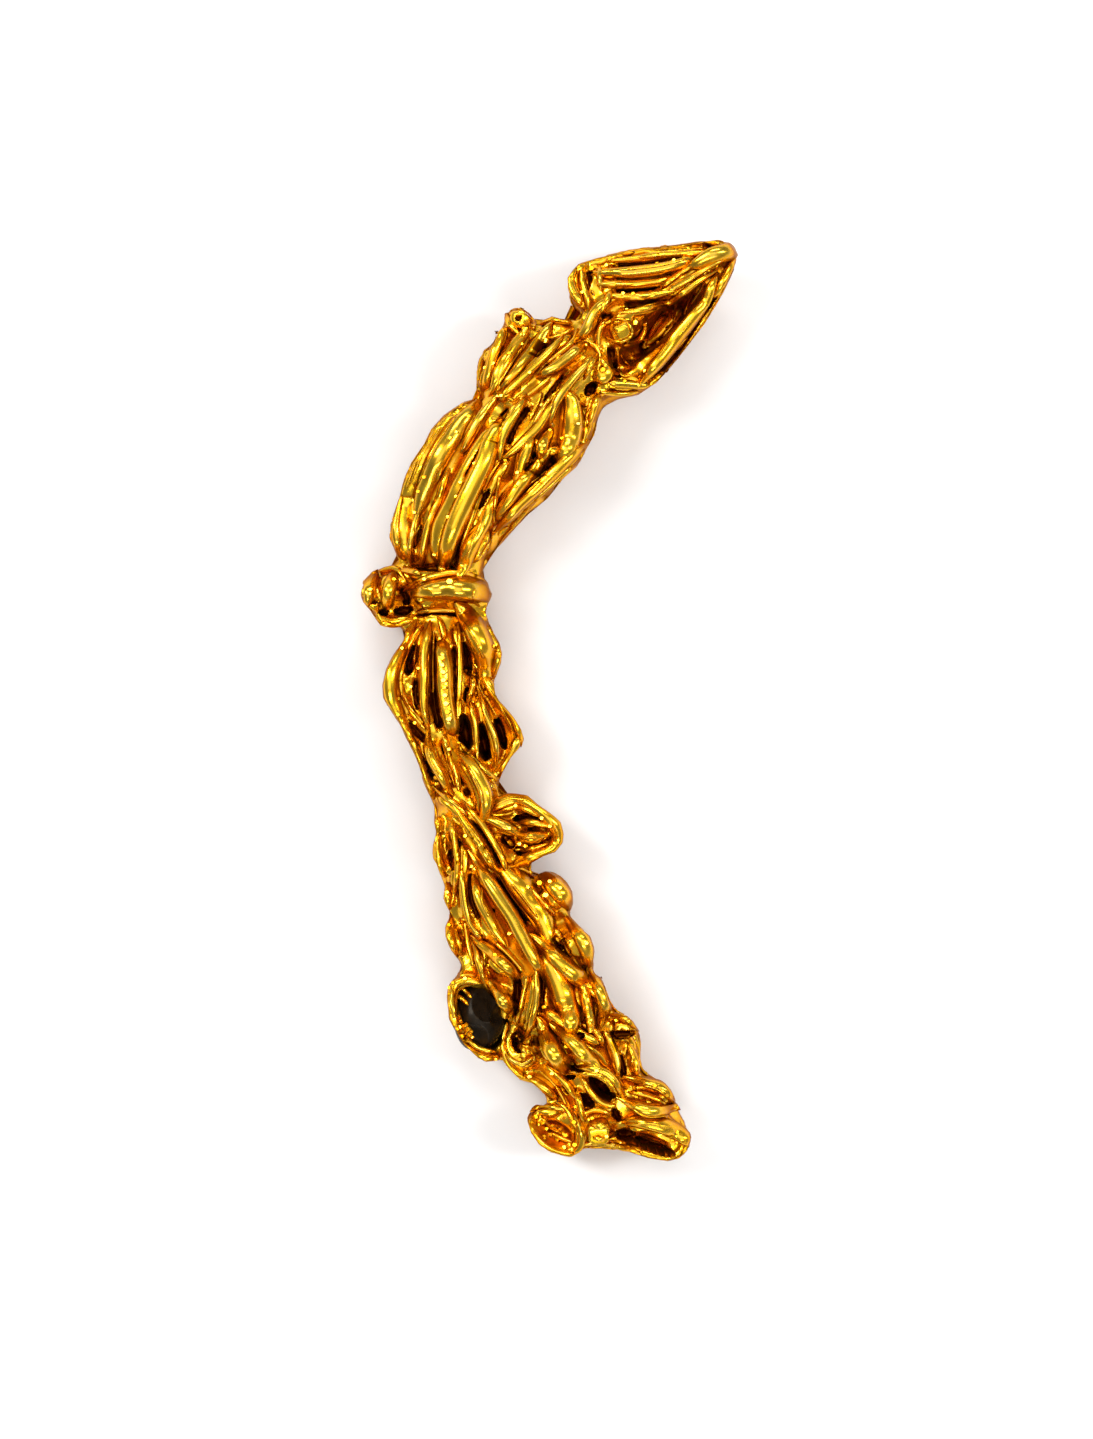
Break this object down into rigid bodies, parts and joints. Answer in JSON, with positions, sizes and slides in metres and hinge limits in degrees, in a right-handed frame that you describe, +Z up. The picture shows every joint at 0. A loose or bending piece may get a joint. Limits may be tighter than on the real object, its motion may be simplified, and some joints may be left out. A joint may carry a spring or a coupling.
{
  "type": "gold nugget",
  "caption": "Slender curved nugget of crystallised gold, a bundle of ropes, blades and knobs with a dark mineral grain in a cup near its foot.",
  "frame": {"origin": "centre of the bounding box in plan, on the surface that the nugget lies on", "axes": "+Y along the nugget from its foot to its pointed crown, +X toward the open side of its bend, +Z up, away from the surface"},
  "size_m": [0.0188, 0.046, 0.0064],
  "materials": {
    "gold": "native gold, bright and slightly satiny, darker orange in its hollows",
    "dark_mineral": "nearly black brown mineral, glossy on its broken faces"
  },
  "bodies": {
    "root": {"gold_nugget": "gold", "dark_mineral_grain": "dark_mineral"}
  },
  "joints": []
}
